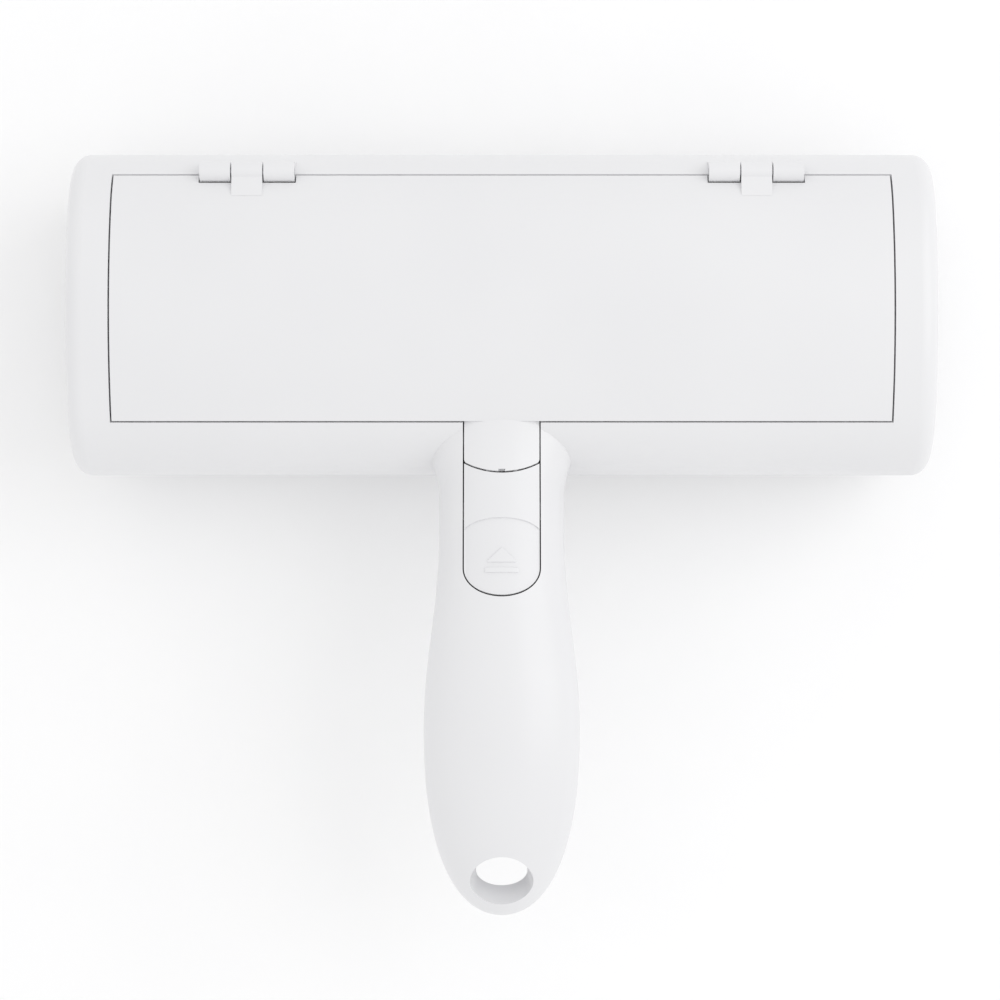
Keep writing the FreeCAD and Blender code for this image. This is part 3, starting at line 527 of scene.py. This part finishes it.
def sign_part(name, corners, radius):
    """A low relief that follows the pad, inside an outline given as (across, along) on the release."""
    origin, along, normal = Vector(RELEASE_ORIGIN), Vector(RELEASE_ALONG), Vector(RELEASE_NORMAL)
    release = NODES["release_button"].data
    pad = BVHTree.FromPolygons([v.co / MM for v in release.vertices],
                               [tuple(p.vertices) for p in release.polygons])
    outline = refined(rounded(corners, radius), SIGN_STEP)
    middle = sum(outline, Vector((0.0, 0.0))) / len(outline)
    inradius = min((p - middle).length for p in outline)
    # each ring is (scale, lift over the pad)
    rings = [(1.0, -SIGN_FOOT), (1.0, SIGN_RELIEF - SIGN_EDGE * 0.6)]
    rings += [(1.0 - SIGN_EDGE * 0.35 / inradius, SIGN_RELIEF - SIGN_EDGE * 0.12)]
    rings += [(1.0 - SIGN_EDGE / inradius, SIGN_RELIEF), (0.6, SIGN_RELIEF), (0.3, SIGN_RELIEF)]
    points, faces = [], []
    for scale, lift in rings + [(0.0, SIGN_RELIEF)]:
        for p in outline if scale else [middle]:
            q = middle + (p - middle) * scale
            spot = origin + Vector((q.x, 0.0, 0.0)) + along * q.y
            hit = pad.ray_cast(spot + normal * SIGN_RAY_START, -normal)[0]
            points.append((hit + normal * lift) * MM)
    n = len(outline)
    for r in range(len(rings) - 1):
        for i in range(n):
            j = (i + 1) % n
            faces.append((r * n + i, r * n + j, (r + 1) * n + j, (r + 1) * n + i))
    last = (len(rings) - 1) * n
    for i in range(n):
        faces.append((last + i, last + (i + 1) % n, last + n))
    faces.append(tuple(range(n - 1, -1, -1)))
    made = new_object(name, points, faces, [RELEASE])
    for p in made.data.polygons:
        p.use_smooth = False
    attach(made, "release")


TRIANGLE_BASE = TRIANGLE_APEX + TRIANGLE_HEIGHT
BAR_NEAR = TRIANGLE_BASE + SIGN_GAP
BAR_FAR = BAR_NEAR + BAR_HEIGHT
sign_part("open_sign_triangle", [(0.0, TRIANGLE_APEX), (TRIANGLE_WIDTH / 2, TRIANGLE_BASE),
                                 (-TRIANGLE_WIDTH / 2, TRIANGLE_BASE)], TRIANGLE_CORNER)
sign_part("open_sign_bar", [(-BAR_WIDTH / 2, BAR_NEAR), (BAR_WIDTH / 2, BAR_NEAR),
                            (BAR_WIDTH / 2, BAR_FAR), (-BAR_WIDTH / 2, BAR_FAR)], BAR_CORNER)


# The latch's compression spring, with closed ends, built at one length; the real one shortens as the
# slide comes back

def latch_spring_coil():
    origin, along, normal = Vector(RELEASE_ORIGIN), Vector(RELEASE_ALONG), Vector(RELEASE_NORMAL)
    start = origin + along * SPRING_START - normal * SPRING_DEPTH
    across = Vector((1.0, 0.0, 0.0))
    closed, active, steps, sides = SPRING_CLOSED_TURNS, SPRING_ACTIVE_TURNS, 28, 10
    low = SPRING_WIRE_RADIUS * 1.1
    wire = SPRING_WIRE_RADIUS * 2.05
    pitch = (SPRING_LENGTH - 2 * low - 2 * closed * wire) / active
    turns = 2 * closed + active
    points, faces = [], []
    count = int(turns * steps)
    for i in range(count + 1):
        turn = turns * i / count
        rise = low + wire * min(turn, closed) + pitch * min(max(turn - closed, 0.0), active)
        rise += wire * max(turn - closed - active, 0.0)
        angle = 2 * math.pi * turn
        out = across * math.cos(angle) + normal * math.sin(angle)
        centre = start + along * rise + out * SPRING_COIL_RADIUS
        for k in range(sides):
            round_angle = 2 * math.pi * k / sides
            way = out * math.cos(round_angle) + along * math.sin(round_angle)
            points.append((centre + way * SPRING_WIRE_RADIUS) * MM)
    for i in range(count):
        for k in range(sides):
            a, b = i * sides + k, i * sides + (k + 1) % sides
            faces.append((a, b, b + sides, a + sides))
    faces.append(tuple(range(sides - 1, -1, -1)))
    faces.append(tuple(range(count * sides, (count + 1) * sides)))
    made = new_object("latch_spring_coil", points, faces, [STEEL])
    for p in made.data.polygons:
        p.use_smooth = len(p.vertices) == 4
    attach(made, "head")
    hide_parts("latch_spring")
    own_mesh(made)


latch_spring_coil()


# The floor, the light and the camera

FLOOR_HALF = 3.0
FLOOR_Z = -0.0002
floor = new_object("floor", [(-FLOOR_HALF, -FLOOR_HALF, FLOOR_Z), (FLOOR_HALF, -FLOOR_HALF, FLOOR_Z),
                             (FLOOR_HALF, FLOOR_HALF, FLOOR_Z), (-FLOOR_HALF, FLOOR_HALF, FLOOR_Z)],
                   [(0, 1, 2, 3)], [floor_paper("floor_paper")])


def soft_box(name, place, target, width, depth, watts):
    light = bpy.data.lights.new(name, "AREA")
    light.shape = "RECTANGLE"
    light.size = width
    light.size_y = depth
    light.energy = watts
    lamp = bpy.data.objects.new(name, light)
    lamp.location = place
    lamp.rotation_mode = "QUATERNION"
    lamp.rotation_quaternion = (Vector(target) - Vector(place)).to_track_quat("-Z", "Y")
    bpy.context.scene.collection.objects.link(lamp)


LIGHT_TARGET = (0.0, 0.0, 0.03)
WORLD_STRENGTH = 0.955
soft_box("key_soft_box", (0.75, 0.25, 0.85), LIGHT_TARGET, width=0.9, depth=0.9, watts=2.4)
soft_box("fill_soft_box", (-0.8, -0.3, 0.8), LIGHT_TARGET, width=1.0, depth=1.0, watts=0.15)

world = bpy.data.worlds.new("studio")
world.use_nodes = True
background = world.node_tree.nodes["Background"]
background.inputs["Color"].default_value = (1.0, 1.0, 1.0, 1.0)
background.inputs["Strength"].default_value = WORLD_STRENGTH
bpy.context.scene.world = world

camera_data = bpy.data.cameras.new("photo_camera")
camera_data.lens = CAMERA_LENS
camera_data.sensor_width = CAMERA_SENSOR
camera_data.clip_start = 0.01
camera_data.clip_end = 20.0
camera = bpy.data.objects.new("photo_camera", camera_data)
camera.location = (CAMERA_X, CAMERA_Y, CAMERA_HEIGHT)
bpy.context.scene.collection.objects.link(camera)
bpy.context.scene.camera = camera

bpy.context.scene.view_settings.view_transform = "Standard"
bpy.context.scene.view_settings.look = "None"
